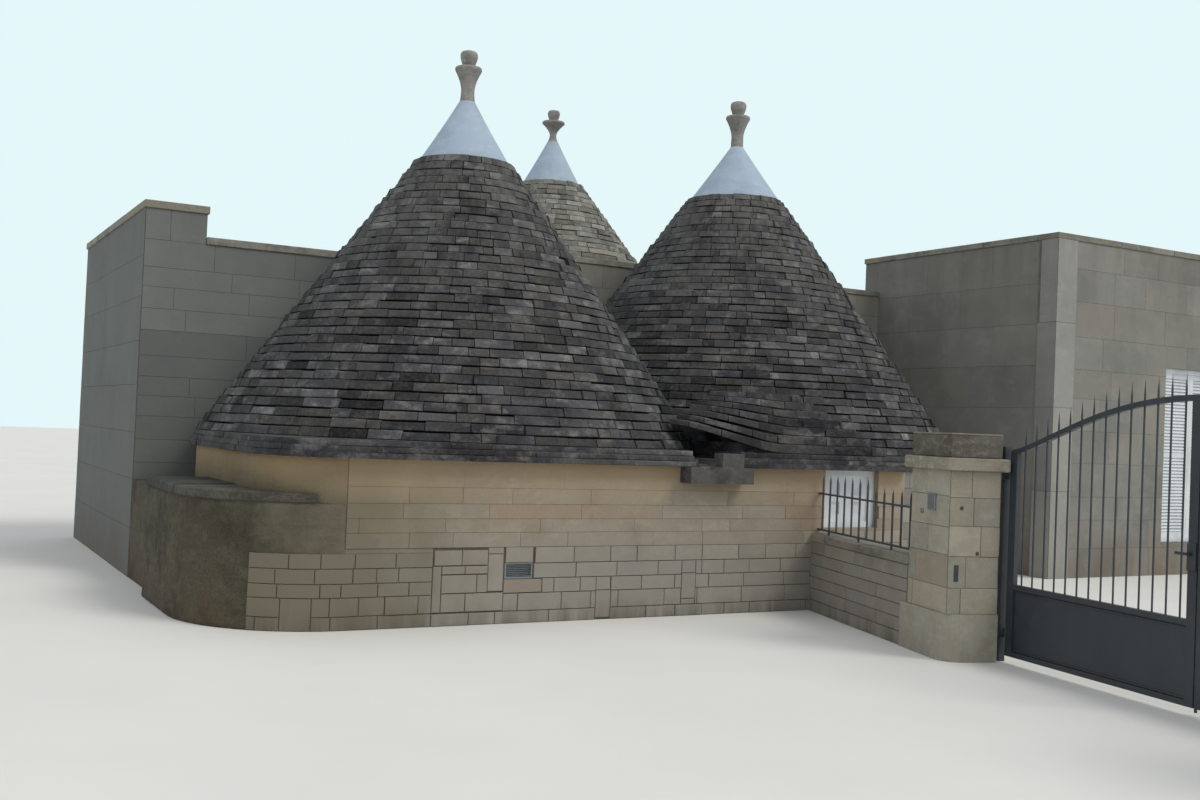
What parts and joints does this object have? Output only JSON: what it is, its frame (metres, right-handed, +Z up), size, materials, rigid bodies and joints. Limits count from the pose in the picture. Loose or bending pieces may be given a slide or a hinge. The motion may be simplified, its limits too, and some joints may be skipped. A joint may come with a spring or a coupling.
{
  "type": "trullo house",
  "caption": "Trullo house: corbelled stone cone roofs with white caps over a low street wall, flat-roofed wings behind, and a court wall with a double swing gate.",
  "frame": {"origin": "on the ground under the middle of the street wall's thickness, in line with the left cone's axis", "axes": "+X along the street wall to the right, +Y into the house, +Z up"},
  "size_m": [16.7159, 17.0243, 6.557],
  "materials": {
    "street_stone": "coursed cream limestone blocks, rubbed and stained under the eaves",
    "corner_stone": "brown weathered limestone facing",
    "wing_stone": "grey-beige limestone cladding with fine joints",
    "pilaster_stone": "smooth pale limestone",
    "coping_stone": "weathered grey limestone slabs",
    "pier_stone": "cream and tan sawn blocks",
    "pier_cap_stone": "grey weathered limestone",
    "roof_stone": "dark grey limestone slabs with pale lichen",
    "rear_roof_stone": "olive grey limestone slabs",
    "gutter_stone": "dark weathered limestone",
    "lime_plaster": "smooth white lime plaster",
    "finial_stone": "carved grey-beige limestone",
    "flat_roof": "pale stone paving slabs",
    "white_joinery": "white paint",
    "grille_metal": "dull grey metal",
    "railing_paint": "dark grey paint",
    "gate_paint": "blue-grey paint"
  },
  "bodies": {
    "house": {"front_wall": "street_stone", "corner_wall": "corner_stone", "left_flank": "corner_stone", "corner_coping": "coping_stone", "flank_wall": "corner_stone", "left_trullo_wall": "corner_stone", "valley_masonry": "street_stone", "right_trullo_wall": "wing_stone", "right_trullo_court_wall": "street_stone", "doorway_lintels": "wing_stone", "left_eaves": "roof_stone", "right_eaves": "roof_stone", "right_apron": "roof_stone", "gutter_stones": "gutter_stone", "left_roof": "roof_stone", "right_roof": "roof_stone", "rear_roof": "rear_roof_stone", "roof_caps": "lime_plaster", "finials": "finial_stone", "left_wing_front_wall": "wing_stone", "left_wing_side_walls": "wing_stone", "left_wing_rear_wall": "wing_stone", "left_wing_roof": "flat_roof", "left_wing_coping": "coping_stone", "rear_block_front_wall": "wing_stone", "rear_block_side_walls": "wing_stone", "rear_block_rear_wall": "wing_stone", "rear_block_roof": "flat_roof", "rear_block_coping": "coping_stone", "right_wing_front_wall": "wing_stone", "right_wing_side_walls": "wing_stone", "right_wing_back_wall": "wing_stone", "right_wing_roof": "flat_roof", "right_wing_coping": "coping_stone", "corner_pilaster": "pilaster_stone", "window_frames": "white_joinery", "window_shutters": "white_joinery", "vent_grille": "grille_metal", "low_wall": "street_stone", "railing": "railing_paint", "gate_piers": "pier_stone", "pier_caps": "pier_cap_stone", "gate_posts": "gate_paint"},
    "near_leaf": {"near_gate_leaf": "gate_paint"},
    "far_leaf": {"far_gate_leaf": "gate_paint"}
  },
  "joints": [
    {"name": "near_gate_hinge", "type": "hinge", "parent": "house", "child": "near_leaf", "pos_m": [2.50035, -3.06364, 1], "axis": [0, 0, 1], "range_deg": [0, 90]},
    {"name": "far_gate_hinge", "type": "hinge", "parent": "house", "child": "far_leaf", "pos_m": [1.91372, -6.76747, 1], "axis": [0, 0, -1], "range_deg": [0, 90]}
  ]
}
